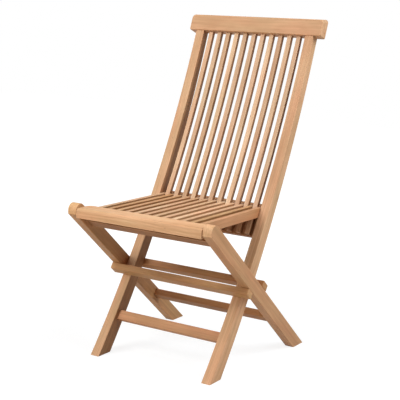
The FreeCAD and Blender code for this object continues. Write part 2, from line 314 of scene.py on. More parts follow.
# %% A few small knots
KNOT_COLOUR = rgb(112, 70, 42)
KNOT_SHARE = 0.6
KNOT_CORE = 0.05
KNOT_RIM = 0.12
KNOT_CHANCE = 0.8
spread = node(wood, "ShaderNodeMapping", (-800, -2400), Vector=grain, Scale=(7.0, 22.0, 22.0))
spots = node(wood, "ShaderNodeTexVoronoi", (-500, -2400), Vector=spread.outputs["Vector"]).outputs
chance = node(wood, "ShaderNodeSeparateXYZ", (-300, -2500), Vector=spots["Color"]).outputs["X"]
near = between(wood, (-100, -2300), spots["Distance"], KNOT_RIM, KNOT_CORE)
chosen = maths(wood, "GREATER_THAN", (-100, -2500), chance, KNOT_CHANCE)
knot = maths(wood, "MULTIPLY", (0, -2400), near, chosen)
dark_knot = maths(wood, "MULTIPLY", (100, -2400), knot, KNOT_SHARE)
colour = mixed(wood, (1400, 100), dark_knot, colour, KNOT_COLOUR)
print("one cell in", round(1 / (1 - KNOT_CHANCE)), "has a knot")

# %% [markdown]
# ### Wear, sun, and painted highlight and shade
# Where a bar lies open, use and weather change it. Its edges are rubbed paler in patches, its cut ends dry
# out pale, and the fronts of the slats are bleached. Two more changes are painted light and shade: a painted
# highlight makes the heads of the legs beside the seat the palest, and painted shade keeps the faces between
# the slats and close under the seat dark and brown. A material can't find these places by itself, so each
# change multiplies the colour where an attribute of the bar says so.

# %% Wear, cut ends, painted highlight and painted shade
RUBBED = (1.14, 1.16, 1.18)
RUBBED_LEAST = 0.25
RUBBED_MOST = 0.9
CUT_END = (1.10, 1.14, 1.18)
CUT_SHARE = 0.8
# painted highlight: the heads of the legs are made much paler, most of all on their cut faces
HEAD_HIGHLIGHT = (1.30, 1.42, 1.56)
HEAD_FULL = 0.012  # metres from the start of the grain, where only the legs' heads are
HEAD_NONE = 0.05
HEAD_FACES = 0.15  # share of it on the faces that weren't cut
PATCH_LOW = 0.35
PATCH_HIGH = 0.65
BLEACHED = (1.04, 1.15, 1.33)
# painted shade: darker and browner on faces between the slats, close under the seat and, in part, below it
PAINTED_SHADE = (0.60, 0.51, 0.42)
rubbing = between(wood, (800, 500), patches, PATCH_LOW, PATCH_HIGH, RUBBED_LEAST, RUBBED_MOST)
rubbed = maths(wood, "MULTIPLY", (1000, 500), worn, rubbing)
dried = maths(wood, "MULTIPLY", (1000, 700), cut, CUT_SHARE)
head = between(wood, (1000, 900), along, HEAD_NONE, HEAD_FULL)
head_cut = maths(wood, "MULTIPLY_ADD", (1200, 900), cut, 1.0 - HEAD_FACES, HEAD_FACES)
head_highlight = maths(wood, "MULTIPLY", (1400, 900), head, head_cut)
sunned = maths(wood, "SUBTRACT", (1800, 1100), faded, painted_shade_share)
for x, share, change in ((1550, rubbed, RUBBED), (1700, dried, CUT_END), (1850, head_highlight, HEAD_HIGHLIGHT),
                         (1950, sunned, BLEACHED), (2000, painted_shade_share, PAINTED_SHADE)):
    colour = mixed(wood, (x, 100), share, colour, change, "MULTIPLY")
print("teak has", len(wood.nodes), "nodes so far")

# %% Finished teak
ROUGH_LOW = 0.50
ROUGH_HIGH = 0.70
GLOSS = 0.35
STREAK_HEIGHT = 0.6
RELIEF = (0.25, 0.0004)  # strength, and depth in metres


def bumped(tree, place, height, strength, distance):
    """Normals of a surface with a fine relief."""
    made = node(tree, "ShaderNodeBump", place, Strength=strength, Distance=distance, Height=height)
    return made.outputs["Normal"]


roughness = between(wood, (1500, -250), streaks, NOISE_LOW, NOISE_HIGH, ROUGH_LOW, ROUGH_HIGH)
ridges = maths(wood, "MULTIPLY", (1400, -500), streaks, STREAK_HEIGHT)
height = maths(wood, "SUBTRACT", (1500, -550), ridges, pores)
shader = node(wood, "ShaderNodeBsdfPrincipled", (2300, 0), Base_Color=colour, Roughness=roughness,
              Specular_IOR_Level=GLOSS, Normal=bumped(wood, (1800, -450), height, *RELIEF))
node(wood, "ShaderNodeOutputMaterial", (2600, 0), Surface=shader.outputs["BSDF"])
print("teak has", len(wood.nodes), "nodes")

# %% [markdown]
# ## Bars
# A bar is an outline in the side view, carried across the chair. Its edges are eased with a
# small rounding, because a sharp edge never catches the light and looks unreal. A Bevel
# modifier would also round the ends, which stay square where they meet another bar or the
# floor. So the edges are chosen by their direction and place, and rounded in the mesh.

# %% From a side view to a solid with rounded edges
ACROSS = Vector((1.0, 0.0, 0.0))
BACKWARD = Vector((0.0, 1.0, 0.0))
UPWARD = Vector((0.0, 0.0, 1.0))
EDGE = 0.0015
CORNER = math.radians(35)


def side_point(y, z):
    """Point of the side view as a 2-D vector of y and z."""
    return Vector((y, z))


def in_place(point, x):
    """3-D place of a point of the side view."""
    return Vector((x, point.x + FOOT_Y, point.y))


def prism(outline, left, right):
    """Bmesh of an outline carried from left to right."""
    mesh = bmesh.new()
    ends = [[mesh.verts.new(in_place(p, x)) for p in outline] for x in (left, right)]
    mesh.faces.new(ends[0])
    mesh.faces.new(list(reversed(ends[1])))
    for i in range(len(outline)):
        j = (i + 1) % len(outline)
        mesh.faces.new((ends[0][j], ends[0][i], ends[1][i], ends[1][j]))
    bmesh.ops.recalc_face_normals(mesh, faces=mesh.faces)
    return mesh


def runs(way, axis):
    """Whether a direction runs along an axis, either way."""
    return abs(way.dot(axis)) > 0.99


def round_edges(mesh, width, wanted, segments=3):
    """Rounds the corners of the shape that pass a test on their direction and middle."""
    chosen = []
    for edge in mesh.edges:
        a, b = (v.co for v in edge.verts)
        if edge.calc_face_angle(0.0) > CORNER and wanted((b - a).normalized(), (a + b) / 2):
            chosen.append(edge)
    bmesh.ops.bevel(mesh, geom=chosen, offset=width, offset_type="OFFSET", segments=segments,
                    profile=0.5, affect="EDGES", clamp_overlap=True)


print("edges are rounded by", EDGE * 1000, "mm")

# %% [markdown]
# ### The grain of a bar
# A plank is sawn from anywhere in a log, so each bar starts its measure at a chance place, and its pith lies
# at a chance distance to one side. The legs start at zero instead, because the painted highlight on their
# heads is found by it. The dice are thrown in the order in which the bars are made, so the same bar gets the
# same grain in each run.

# %% Write the grain and the shade of a bar
# Most tints are each bar's tone. The low tints of lower_back_rail, rear_stretcher, rear_stop_rail,
# front_stop_rail and right_leg are partly painted shade from the seat above them.
TINTS_AND_PAINTED_SHADE = {"left_stile": 0.68, "right_stile": 0.74, "top_rail": 0.57, "front_stretcher": 0.36,
         "lower_back_rail": 0.0, "left_leg": 0.41, "right_leg": 0.29, "leg_top_rail": 0.4,
         "rear_stretcher": 0.05, "front_stop_rail": 0.3, "rear_stop_rail": 0.15,
         "seat_front_board": 0.92, "seat_rear_rail": 0.4}
BOARD_START = (1.0, 9.0)
PITH_ASIDE = (0.03, 0.09)
PITH_BEHIND = (0.02, 0.07)
dice = random.Random(7)


def write(mesh_data, name, domain, values):
    """Writes an attribute with one number for each point or face."""
    mesh_data.attributes.new(name, "FLOAT", domain).data.foreach_set("value", values)


def straight_grain(origin, way, side):
    """Measure of a straight bar: along it, and in its section."""
    other = way.cross(side)

    def at(point):
        offset = point - origin
        return Vector((offset.dot(way), offset.dot(side), offset.dot(other)))
    return at


def measure(mesh_data, grain_at, shade, start):
    """Writes the bar's own measure, counted along the bar from start, and its shade."""
    shift = Vector((start, dice.uniform(*PITH_ASIDE) * dice.choice((-1, 1)),
                    dice.uniform(*PITH_BEHIND) * dice.choice((-1, 1))))
    places = mesh_data.attributes.new("grain", "FLOAT_VECTOR", "POINT")
    places.data.foreach_set("vector", [v for p in mesh_data.vertices for v in grain_at(p.co) + shift])
    write(mesh_data, "tint", "POINT", [shade] * len(mesh_data.vertices))


print(len(TINTS_AND_PAINTED_SHADE), "bars, tints from", min(TINTS_AND_PAINTED_SHADE.values()), "to", max(TINTS_AND_PAINTED_SHADE.values()))

# %% Mark the faces that differ
NARROW = 0.0012  # in metres, and wider faces aren't part of a rounding
CUT_FROM = 0.5  # on a scale from 0 for a face along the grain to 1 for a face square to it
CUT_FULL = 0.8
NEAR = 0.001
INSET = 0.003  # below the seat's top the faces have to lie this far inside the stiles
# UNDER_SEAT and SHADED set where and how strongly shade is painted under the seat
UNDER_SEAT = 0.03
SHADED = 0.7  # how much of the dark tone the faces below a height get


def mark_edges(mesh_data):
    """Marks the narrow faces of the rounded edges, which are rubbed paler."""
    narrow = []
    for face in mesh_data.polygons:
        corners = [mesh_data.vertices[i].co for i in face.vertices]
        longest = max((a - b).length for a, b in zip(corners, corners[1:] + corners[:1]))
        narrow.append(1.0 if face.area < NARROW * longest else 0.0)
    write(mesh_data, "edge", "FACE", narrow)


def mark_cut_ends(mesh_data, grain_at):
    """Marks the faces that lie square to the grain, where the bar was cut to length."""
    ends = []
    for face in mesh_data.polygons:
        run = grain_at(face.center + face.normal * NEAR).x - grain_at(face.center).x
        ends.append(max(0.0, min(1.0, (abs(run) / NEAR - CUT_FROM) / (CUT_FULL - CUT_FROM))))
    write(mesh_data, "cut_end", "FACE", ends)


def sideways(face):
    """Whether a face looks to the left or to the right."""
    return abs(face.normal.x) > 0.9


def mark_painted_shade(mesh_data, below):
    """Marks painted shade: side faces between the stiles and level faces close under the seat, and in part
    those below a height. Above the seat the sides of the stiles that face the slats are among them."""
    shade_shares = []
    for face in mesh_data.polygons:
        height = face.center.z
        reach = STILE_INNER + (NEAR if height > SEAT_TOP else -INSET)
        between_bars = sideways(face) and abs(face.center.x) < reach
        under = abs(face.normal.z) > 0.6 and SEAT_LOW - UNDER_SEAT < height < SEAT_LOW + NEAR
        shade_shares.append(1.0 if between_bars or under else SHADED if height < below else 0.0)
    write(mesh_data, "painted_shade", "FACE", shade_shares)


print("faces under", NARROW * 1000, "mm wide count as rubbed edges")

# %% [markdown]
# ### From a mesh to a finished piece
# Smooth shading would bend the light over a whole flat face, and flat shading would show each
# facet of a rounding. Normals weighted by the area of the faces keep the broad faces flat
# while the rounded edges shade smoothly. The modifier that does this is worked into a plain
# mesh, and then the piece takes the place of its part on the right body.

# %% Finish a piece
CREASE = math.radians(40)
BROAD_FACES_FIRST = 80


def keep_corners(mesh_data):
    """Shades all faces smoothly, but leaves the corners that aren't rounded sharp."""
    mesh = bmesh.new()
    mesh.from_mesh(mesh_data)
    for face in mesh.faces:
        face.smooth = True
    for edge in mesh.edges:
        edge.smooth = edge.calc_face_angle(0.0) < CREASE
    mesh.to_mesh(mesh_data)
    mesh.free()


def plain_mesh(holder):
    """Mesh of an object with its modifier worked in. The object itself is removed."""
    graph = bpy.context.evaluated_depsgraph_get()
    made = bpy.data.meshes.new_from_object(holder.evaluated_get(graph), preserve_all_data_layers=True,
                                           depsgraph=graph)
    bpy.data.objects.remove(holder)
    return made


def dressed(name, mesh_data, body, nodes, below=0.0):
    """Finished piece of teak, riding on its body in place of its nodes."""
    mark_edges(mesh_data)
    mark_painted_shade(mesh_data, below)
    keep_corners(mesh_data)
    rough = placed(name + "_rough", mesh_data)
    weighted = rough.modifiers.new("weighted", "WEIGHTED_NORMAL")
    weighted.weight = BROAD_FACES_FIRST
    weighted.keep_sharp = True
    plain = plain_mesh(rough)
    plain.name = name
    piece = placed(name, plain)
    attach(piece, body)
    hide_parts(*nodes)
    print(name, "is", [round(v, 3) for v in piece.dimensions], "m,", len(plain.polygons), "faces")


def bar(name, mesh, grain_at, body, start=None):
    """Piece made of a finished bmesh, in place of the node with the same name."""
    mesh_data = bpy.data.meshes.new(name + "_rough")
    mesh.to_mesh(mesh_data)
    mesh.free()
    measure(mesh_data, grain_at, TINTS_AND_PAINTED_SHADE[name], dice.uniform(*BOARD_START) if start is None else start)
    mark_cut_ends(mesh_data, grain_at)
    mesh_data.materials.append(teak)
    dressed(name + "_teak", mesh_data, body, [name])


print("corners over", round(math.degrees(CREASE)), "degrees stay sharp")

# %% [markdown]
# ## Stiles
# The two stiles run from the front feet to the top rail. Each is sawn to a gentle bow and gets
# thinner towards the top. A straight bar bent by a modifier would keep its thickness, so the
# outline is drawn from two circles, one for the front face and one for the rear face, and its
# sole is level. The slats and rails of the back follow the same bow, so the circles are found
# first. The grain follows the bow too, which keeps its lines parallel to the front face.

# %% The bow of the back
STILE_BOW = 0.038
STILE_DEPTH_FOOT = 0.043
STILE_DEPTH_TOP = 0.025
foot = side_point(0.0, 0.0)
crown = side_point(0.469, 0.855)


def circle_through(a, b, c):
    """Centre and radius of the circle through three points of the side view."""
    m = Matrix(((2 * (b.x - a.x), 2 * (b.y - a.y)), (2 * (c.x - a.x), 2 * (c.y - a.y))))
    k = Vector((b.dot(b) - a.dot(a), c.dot(c) - a.dot(a)))
    centre = m.inverted() @ k
    return centre, (a - centre).length


def on_circle(centre, radius, z):
    """Point of a circle at a height, on its rear side."""
    return side_point(centre.x + math.sqrt(radius ** 2 - (z - centre.y) ** 2), z)


def rearward(point):
    """Direction square to the bow, to the rear."""
    return (point - bow_centre).normalized()


def upward(point):
    """Direction along the bow, up."""
    back = rearward(point)
    return side_point(-back.y, back.x)


def stile_point(z, depth):
    """Point of a stile some depth behind its front face at a height."""
    face = on_circle(bow_centre, bow_radius, z)
    return face + rearward(face) * depth


chord = (crown - foot).normalized()
belly = (foot + crown) / 2 + side_point(chord.y, -chord.x) * STILE_BOW
bow_centre, bow_radius = circle_through(foot, belly, crown)
crown_rear = stile_point(crown.y, STILE_DEPTH_TOP)
middle_rear = stile_point(crown.y / 2, (STILE_DEPTH_FOOT + STILE_DEPTH_TOP) / 2)
rear_centre, rear_radius = circle_through(stile_point(0.0, STILE_DEPTH_FOOT), middle_rear, crown_rear)
print("bow radius:", round(bow_radius, 3), "m in front,", round(rear_radius, 3), "m behind")

# %% Two bowed stiles
STILE_STEPS = 28
SOLE = 0.01  # edges below this height are those of the sole, which stay sharp


def angle_at(centre, radius, z):
    """Angle of a circle's rear side at a height."""
    return math.asin((z - centre.y) / radius)


def at_angle(centre, radius, angle):
    """Point of a circle at an angle."""
    return centre + side_point(math.cos(angle), math.sin(angle)) * radius


def arc(centre, radius, start, end, steps):
    """Points of a circle from one angle to another."""
    return [at_angle(centre, radius, start + (end - start) * i / steps) for i in range(steps + 1)]


def rising_arc(centre, radius, top):
    """Points of a circle's rear side from the floor to a height."""
    return arc(centre, radius, angle_at(centre, radius, 0.0), angle_at(centre, radius, top), STILE_STEPS)


def bowed_grain(point):
    """Along the bow, across the chair, and into the depth of the stile."""
    flat = side_point(point.y - FOOT_Y, point.z) - bow_centre
    return Vector((math.atan2(flat.y, flat.x) * bow_radius, point.x, flat.length - bow_radius))


stile_outline = (rising_arc(bow_centre, bow_radius, crown.y)
                 + rising_arc(rear_centre, rear_radius, crown_rear.y)[::-1])
for name, left, right in (("left_stile", STILE_INNER, STILE_OUTER),
                          ("right_stile", -STILE_OUTER, -STILE_INNER)):
    mesh = prism(stile_outline, left, right)
    round_edges(mesh, EDGE, lambda way, middle: not runs(way, ACROSS) and middle.z > SOLE)
    bar(name, mesh, bowed_grain, "back_frame")

# %% [markdown]
# ## Top rail
# The top rail caps the stiles. Seen from the front it is a long block with rounded upper
# corners, tilted like the upper ends of the stiles and a little proud of them. Its top is
# planed level, so its rear face is taller than its front face. The corners are rounded first
# and the edges after them, because the small rounding of an edge then runs on round a corner.

# %% Top rail
TOP_HEIGHT = 0.045
TOP_THICK = 0.031
TOP_PROUD = 0.003
TOP_HIGH_CORNER = 0.010
TOP_LOW_CORNER = 0.0035
TOP_EDGE = 0.002
TOP_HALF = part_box("top_rail")[1].x
top_lift = upward(crown)
top_depth = rearward(crown)
front_low = crown - top_depth * TOP_PROUD
front_high = front_low + top_lift * TOP_HEIGHT
rear_low = front_low + top_depth * TOP_THICK
rear_high = rear_low + top_lift * ((front_high.y - rear_low.y) / top_lift.y)
depth_way = Vector((0.0, top_depth.x, top_depth.y))
mesh = prism([front_low, rear_low, rear_high, front_high], -TOP_HALF, TOP_HALF)
round_edges(mesh, TOP_LOW_CORNER, lambda way, middle: runs(way, depth_way), segments=5)
round_edges(mesh, TOP_HIGH_CORNER, lambda way, middle: runs(way, BACKWARD), segments=8)
round_edges(mesh, TOP_EDGE, lambda way, middle: True)
bar("top_rail", mesh, straight_grain(in_place(crown, 0.0), ACROSS, depth_way), "back_frame")

# %% [markdown]
# ## Rails of the back frame
# A stretcher near the floor and a rail under the seat tie the stiles together. They are made
# alike: where a rail ends against a post its end stays square and goes one millimetre in, so
# that the joint shows as a fine line. The rail under the seat follows the bow of the slats,
# which stand in front of it.

# %% Front stretcher and lower back rail
TUCK = 0.001
PITH_SIDE = Vector((0.0, 0.83, 0.56))  # the rings cross a rail's section aslant
STRETCHER_HEIGHT = 0.094
STRETCHER_INSET = 0.0115
STRETCHER_WIDTH = 0.026
STRETCHER_THICK = 0.018
SLAT_INSET = 0.006
SLAT_THICK = 0.012
BACK_RAIL_LOW = 0.342
BACK_RAIL_THICK = 0.015
STOP_GAP = 0.0003


def section(corner, first, width, second, thick):
    """Outline of a square-cut bar from one corner and two directions."""
    return [corner, corner + first * width, corner + first * width + second * thick, corner + second * thick]


def cross_rail(name, outline, reach, body, ends_shown=False):
    """Bar across the chair, with ends that go into two posts or that show and are rounded."""
    end = reach if ends_shown else reach + TUCK
    mesh = prism(outline, -end, end)
    round_edges(mesh, EDGE, lambda way, middle: ends_shown or runs(way, ACROSS))
    bar(name, mesh, straight_grain(in_place(outline[0], 0.0), ACROSS, PITH_SIDE), body)


corner = stile_point(STRETCHER_HEIGHT, STRETCHER_INSET)
stretcher = section(corner, upward(corner), STRETCHER_WIDTH, rearward(corner), STRETCHER_THICK)
cross_rail("front_stretcher", stretcher, STILE_INNER, "back_frame")

rail_front = bow_radius + SLAT_INSET + SLAT_THICK
rail_rear = rail_front + BACK_RAIL_THICK
rail_low = angle_at(bow_centre, bow_radius, BACK_RAIL_LOW)
rail_top = SEAT_LOW - STOP_GAP
back_rail = [at_angle(bow_centre, rail_front, rail_low), on_circle(bow_centre, rail_front, rail_top),
             on_circle(bow_centre, rail_rear, rail_top), at_angle(bow_centre, rail_rear, rail_low)]
cross_rail("lower_back_rail", back_rail, STILE_INNER, "back_frame")

# %% [markdown]
# ## Legs
# The legs are straight bars that turn on pins in the crossing. Their heads are round on top and
# cut upright in front. The pivot of the seat is the centre of that round. A rail close to the
# heads and a stretcher near the feet hold the two legs together.

# %% Legs
LEG_LEAN = math.radians(50.4)
LEG_HALF = 0.0184
HEAD_STEPS = 20
leg_head = side_point(-0.0505, 0.3985)
leg_down = side_point(math.sin(LEG_LEAN), -math.cos(LEG_LEAN))
leg_front = side_point(-math.cos(LEG_LEAN), -math.sin(LEG_LEAN))


def leg_point(down, front):
    """Point of a leg some way down from its pivot, and in front of its middle line."""
    return leg_head + leg_down * down + leg_front * front


def leg_sole(front):
    """Point of a leg on the floor."""
    start = leg_point(0.0, front)
    return start - leg_down * (start.y / leg_down.y)


brow = leg_head - side_point(LEG_HALF, 0.0)
nose = leg_point((brow.x - leg_point(0.0, LEG_HALF).x) / leg_down.x, LEG_HALF)
head_arc = arc(leg_head, LEG_HALF, math.pi, LEG_LEAN, HEAD_STEPS)
leg_outline = [leg_sole(LEG_HALF), nose] + head_arc + [leg_sole(-LEG_HALF)]
leg_way = Vector((0.0, leg_down.x, leg_down.y))
for name, left, right in (("left_leg", LEG_INNER, LEG_OUTER), ("right_leg", -LEG_OUTER, -LEG_INNER)):
    mesh = prism(leg_outline, left, right)
    round_edges(mesh, EDGE, lambda way, middle: middle.z > SOLE)
    bar(name, mesh, straight_grain(in_place(leg_head, left), leg_way, ACROSS), "leg_frame", start=0.0)

# %% Rails between the legs
# Each rail: how far down the leg, how far in front of its middle line, its width and thickness
LEG_RAILS = {"leg_top_rail": (0.042, -0.012, 0.026, 0.018),
             "rear_stretcher": (0.454, -0.0129, 0.027, 0.019)}
for name, (down, front, width, thick) in LEG_RAILS.items():
    outline = section(leg_point(down, front), leg_down, width, leg_front, thick)
    cross_rail(name, outline, LEG_INNER, "leg_frame")

# %% [markdown]
# ## Stop rails
# Two stop rails lie in the corners between the bowed stiles and the straight legs. They are
# fixed to the stiles and run out over the legs, which rest against them when the chair is
# open. Their corners are found where the faces of a leg cut the two circles of the stile, so
# they would follow if the bow or the lean were changed.

# %% Stop rails in the crossing
STOP_WIDTH = 0.027
STOP_THICK = 0.0173
JOINT_GAP = 0.0001


def circle_meets_leg(centre, radius, front):
    """Where a lengthwise line of the leg meets the stile's face."""
    start = leg_point(0.0, front)
    offset = start - centre
    run = offset.dot(leg_down)
    root = math.sqrt(run ** 2 - offset.dot(offset) + radius ** 2)
    return start + leg_down * min(root - run, -root - run, key=abs)


front_corner = circle_meets_leg(bow_centre, bow_radius, LEG_HALF)
rear_corner = circle_meets_leg(rear_centre, rear_radius, -LEG_HALF)
front_stop = section(front_corner + leg_front * STOP_GAP - rearward(front_corner) * JOINT_GAP,
                     -leg_down, STOP_WIDTH, -upward(front_corner), STOP_THICK)
rear_stop = section(rear_corner - leg_front * STOP_GAP + rearward(rear_corner) * JOINT_GAP,
                    leg_down, STOP_WIDTH, upward(rear_corner), STOP_THICK)
cross_rail("front_stop_rail", front_stop, LEG_OUTER, "back_frame", ends_shown=True)
cross_rail("rear_stop_rail", rear_stop, LEG_OUTER, "back_frame", ends_shown=True)
print("crossing pivot at:", [round(v * 1000, 1) for v in (front_corner + rear_corner) / 2], "mm")

# %% [markdown]
# ## Seat
# The seat is a frame: a broad front board with a well rounded front edge, a rail at the back,
# and strips between the two. The strips pass through the gaps between the back slats, so that
# the seat can slide up the back when the chair folds. The board and the rail have the same
# kind of outline, and their edges aren't eased where the strips run into them.

# %% Front board and rear rail of the seat
BOARD_ROUND = 0.009
BOARD_CORNER = 0.014
REAR_ROUND = 0.008
ROUND_STEPS = 8


def seat_rail(low, high, radius):
    """Solid of a seat rail that fills a box, with its upper front corner rounded."""
    front, back = low.y - FOOT_Y, high.y - FOOT_Y
    centre = side_point(front + radius, SEAT_TOP - radius)
    outline = ([side_point(front, SEAT_LOW)] + arc(centre, radius, math.pi, math.pi / 2, ROUND_STEPS)
               + [side_point(back, SEAT_TOP), side_point(back, SEAT_LOW)])
    return prism(outline, low.x, high.x)


def seat_grain(low):
    """Grain across the chair, counted from the lower front edge of a seat rail."""
    return straight_grain(Vector((0.0, low.y, SEAT_LOW)), ACROSS, BACKWARD)


board_low, board_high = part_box("seat_front_board")
rear_face = board_high.y - NEAR
mesh = seat_rail(board_low, board_high, BOARD_ROUND)
round_edges(mesh, BOARD_CORNER, lambda way, middle: runs(way, UPWARD) and middle.y > rear_face, segments=8)
round_edges(mesh, EDGE, lambda way, middle: middle.y < rear_face)
bar("seat_front_board", mesh, seat_grain(board_low), "seat")

rear_low, rear_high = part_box("seat_rear_rail")
mesh = seat_rail(rear_low, rear_high, REAR_ROUND)
round_edges(mesh, EDGE, lambda way, middle: middle.y > rear_low.y + NEAR)
bar("seat_rear_rail", mesh, seat_grain(rear_low), "seat")

# %% [markdown]
# ## Slats
# The back has eleven slats on the stiles' curve, and the seat has twelve straight strips at the
# same spacing, half a step aside. Copies set by hand would be slow to change and all alike. So
# one Geometry Nodes tree makes both rows: it sweeps a rounded section along the path it is
# given, repeats the slat at an even pitch, and writes each slat's own grain and shade.

# %% Inputs of the row, and the sweep of one slat
EDGE_STEPS = 3
slat_row = bpy.data.node_groups.new("row_of_slats", "GeometryNodeTree")
for label, kind in (("Path", "Geometry"), ("Count", "Int"), ("Pitch", "Float"), ("Width", "Float"),
                    ("Thickness", "Float"), ("Edge", "Float"), ("Seed", "Int"), ("Darkest", "Float"),
                    ("Wood", "Material")):
    slat_row.interface.new_socket(label, in_out="INPUT", socket_type="NodeSocket" + kind)
slat_row.interface.new_socket("Slats", in_out="OUTPUT", socket_type="NodeSocketGeometry")
given = node(slat_row, "NodeGroupInput", (-1400, 0)).outputs


def result(output, kind, place, **values):
    """Output of a new node in the row's tree."""
    return node(slat_row, kind, place, **values).outputs[output]


def captured(place, kind, geometry, value):
    """Keeps a value on the points of a curve. Gives the curve and the kept value."""
    made = node(slat_row, "GeometryNodeCaptureAttribute", place, Geometry=geometry)
    made.capture_items.new(kind, "kept")
    feed(slat_row, made.inputs["kept"], value)
    return made.outputs["Geometry"], made.outputs["kept"]


line = result("Curve", "GeometryNodeMeshToCurve", (-1200, 200), Mesh=given["Path"])
line = result("Curve", "GeometryNodeSetCurveNormal", (-1000, 200), mode="Z_UP", Curve=line)
length = result("Length", "GeometryNodeSplineParameter", (-1000, 0))
line, along_slat = captured((-800, 200), "FLOAT", line, length)
outline = result("Curve", "GeometryNodeCurvePrimitiveQuadrilateral", (-1200, -200), Width=given["Width"],
                 Height=given["Thickness"])
outline = result("Curve", "GeometryNodeFilletCurve", (-1000, -200), mode="POLY", Curve=outline,
                 Radius=given["Edge"], Count=EDGE_STEPS)
position = result("Position", "GeometryNodeInputPosition", (-1000, -450))
outline, in_section = captured((-800, -200), "VECTOR", outline, position)
swept = result("Mesh", "GeometryNodeCurveToMesh", (-600, 100), Curve=line, Profile_Curve=outline,
               Fill_Caps=True)
print("inputs of the row:", [socket.name for socket in given if socket.name])

# %% Grain of one slat, and the row of slats
def stored(place, kind, domain, name, geometry, value):
    """Writes a named attribute."""
    return result("Geometry", "GeometryNodeStoreNamedAttribute", place, data_type=kind, domain=domain,
                  Name=name, Geometry=geometry, Value=value)


parts = node(slat_row, "ShaderNodeSeparateXYZ", (-600, -300), Vector=in_section).outputs
slat_measure = result("Vector", "ShaderNodeCombineXYZ", (-400, -300), X=along_slat, Y=parts["X"],
                      Z=parts["Y"])
one_slat = stored((-400, 100), "FLOAT_VECTOR", "POINT", "grain", swept, slat_measure)
gaps = maths(slat_row, "SUBTRACT", (-1200, -650), given["Count"], 1.0)
row_width = maths(slat_row, "MULTIPLY", (-1000, -650), gaps, given["Pitch"])
first_x = maths(slat_row, "MULTIPLY", (-800, -650), row_width, -0.5)
first = result("Vector", "ShaderNodeCombineXYZ", (-600, -650), X=first_x)
step = result("Vector", "ShaderNodeCombineXYZ", (-600, -800), X=given["Pitch"])
places = result("Mesh", "GeometryNodeMeshLine", (-400, -600), mode="OFFSET", Count=given["Count"],
                Start_Location=first, Offset=step)
row = result("Instances", "GeometryNodeInstanceOnPoints", (-200, 0), Points=places, Instance=one_slat)
print("row_of_slats has", len(slat_row.nodes), "nodes so far")

# %% Shade and board of each slat, and the finished row
BOARD_LOW = (1.0, 0.02, -0.06)
BOARD_HIGH = (9.0, 0.08, 0.06)


def named(place, name):
    """Reads a named vector attribute."""
    return result("Attribute", "GeometryNodeInputNamedAttribute", place, data_type="FLOAT_VECTOR", Name=name)


shade = node(slat_row, "FunctionNodeRandomValue", (-200, -300), data_type="FLOAT", Seed=given["Seed"])
feed(slat_row, socket_of(shade.inputs, "Min", "VALUE"), given["Darkest"])
row = stored((0, 0), "FLOAT", "INSTANCE", "tint", row, socket_of(shade.outputs, "Value", "VALUE"))
board = node(slat_row, "FunctionNodeRandomValue", (0, -300), data_type="FLOAT_VECTOR", Seed=given["Seed"])
feed(slat_row, socket_of(board.inputs, "Min", "VECTOR"), BOARD_LOW)
feed(slat_row, socket_of(board.inputs, "Max", "VECTOR"), BOARD_HIGH)
row = stored((200, 0), "FLOAT_VECTOR", "INSTANCE", "board", row, socket_of(board.outputs, "Value", "VECTOR"))
row = result("Geometry", "GeometryNodeRealizeInstances", (400, 0), Geometry=row)
total = node(slat_row, "ShaderNodeVectorMath", (400, -300), operation="ADD")
feed(slat_row, total.inputs[0], named((200, -300), "grain"))
feed(slat_row, total.inputs[1], named((200, -450), "board"))
row = stored((600, 0), "FLOAT_VECTOR", "POINT", "grain", row, total.outputs["Vector"])
row = result("Geometry", "GeometryNodeRemoveAttribute", (800, 0), Name="board", Geometry=row)
row = result("Geometry", "GeometryNodeSetMaterial", (1000, 0), Geometry=row, Material=given["Wood"])
node(slat_row, "NodeGroupOutput", (1200, 0), Slats=row)
print("row_of_slats has", len(slat_row.nodes), "nodes")

# %% [markdown]
# ### The two rows
# A row is grown by the tree, as a modifier on a path of points in the side view, and its result becomes one
# plain mesh. The sun reaches the fronts of the slats but not their sides, so only the fronts are marked as
# faded. The feet of the back slats stand under the seat, and below its lower face they get part of the
# painted shade.

# %% Back slats and seat strips
SLATS = 11
STRIP = 0.013
PITCH = (2 * STILE_INNER + STRIP) / (SLATS + 1)
SLAT_EDGE = 0.0012
SLAT_LOW = 0.344
SLAT_STEPS = 24


def slats(name, path_points, body, nodes, bleached, below=0.0, **sizes):
    """Row of slats along a path in the side view, as one plain mesh on its body."""
    path = bpy.data.meshes.new(name + "_path")
    path.from_pydata([in_place(p, 0.0) for p in path_points],
                     [(i, i + 1) for i in range(len(path_points) - 1)], [])
    carrier = placed(name + "_path", path)
    modifier = carrier.modifiers.new("slats", "NODES")
    modifier.node_group = slat_row
    sockets = {item.name: item.identifier for item in slat_row.interface.items_tree
               if item.item_type == "SOCKET" and item.in_out == "INPUT"}
    for label, value in {"Pitch": PITCH, "Width": STRIP, "Edge": SLAT_EDGE, "Wood": teak, **sizes}.items():
        modifier[sockets[label]] = value
    plain = plain_mesh(carrier)
    write(plain, "faded", "FACE", [0.0 if sideways(face) else bleached for face in plain.polygons])
    dressed(name, plain, body, nodes, below)


slat_path = arc(bow_centre, bow_radius + SLAT_INSET + SLAT_THICK / 2,
                angle_at(bow_centre, bow_radius, SLAT_LOW),
                angle_at(bow_centre, bow_radius, crown.y) + TUCK / bow_radius, SLAT_STEPS)
# below=SEAT_LOW paints part of the shade on the back slats below the seat
slats("back_slats", slat_path, "back_frame", [f"back_slat_{i:02d}" for i in range(1, SLATS + 1)],
      bleached=1.0, below=SEAT_LOW, Count=SLATS, Thickness=SLAT_THICK, Seed=6476, Darkest=0.3)

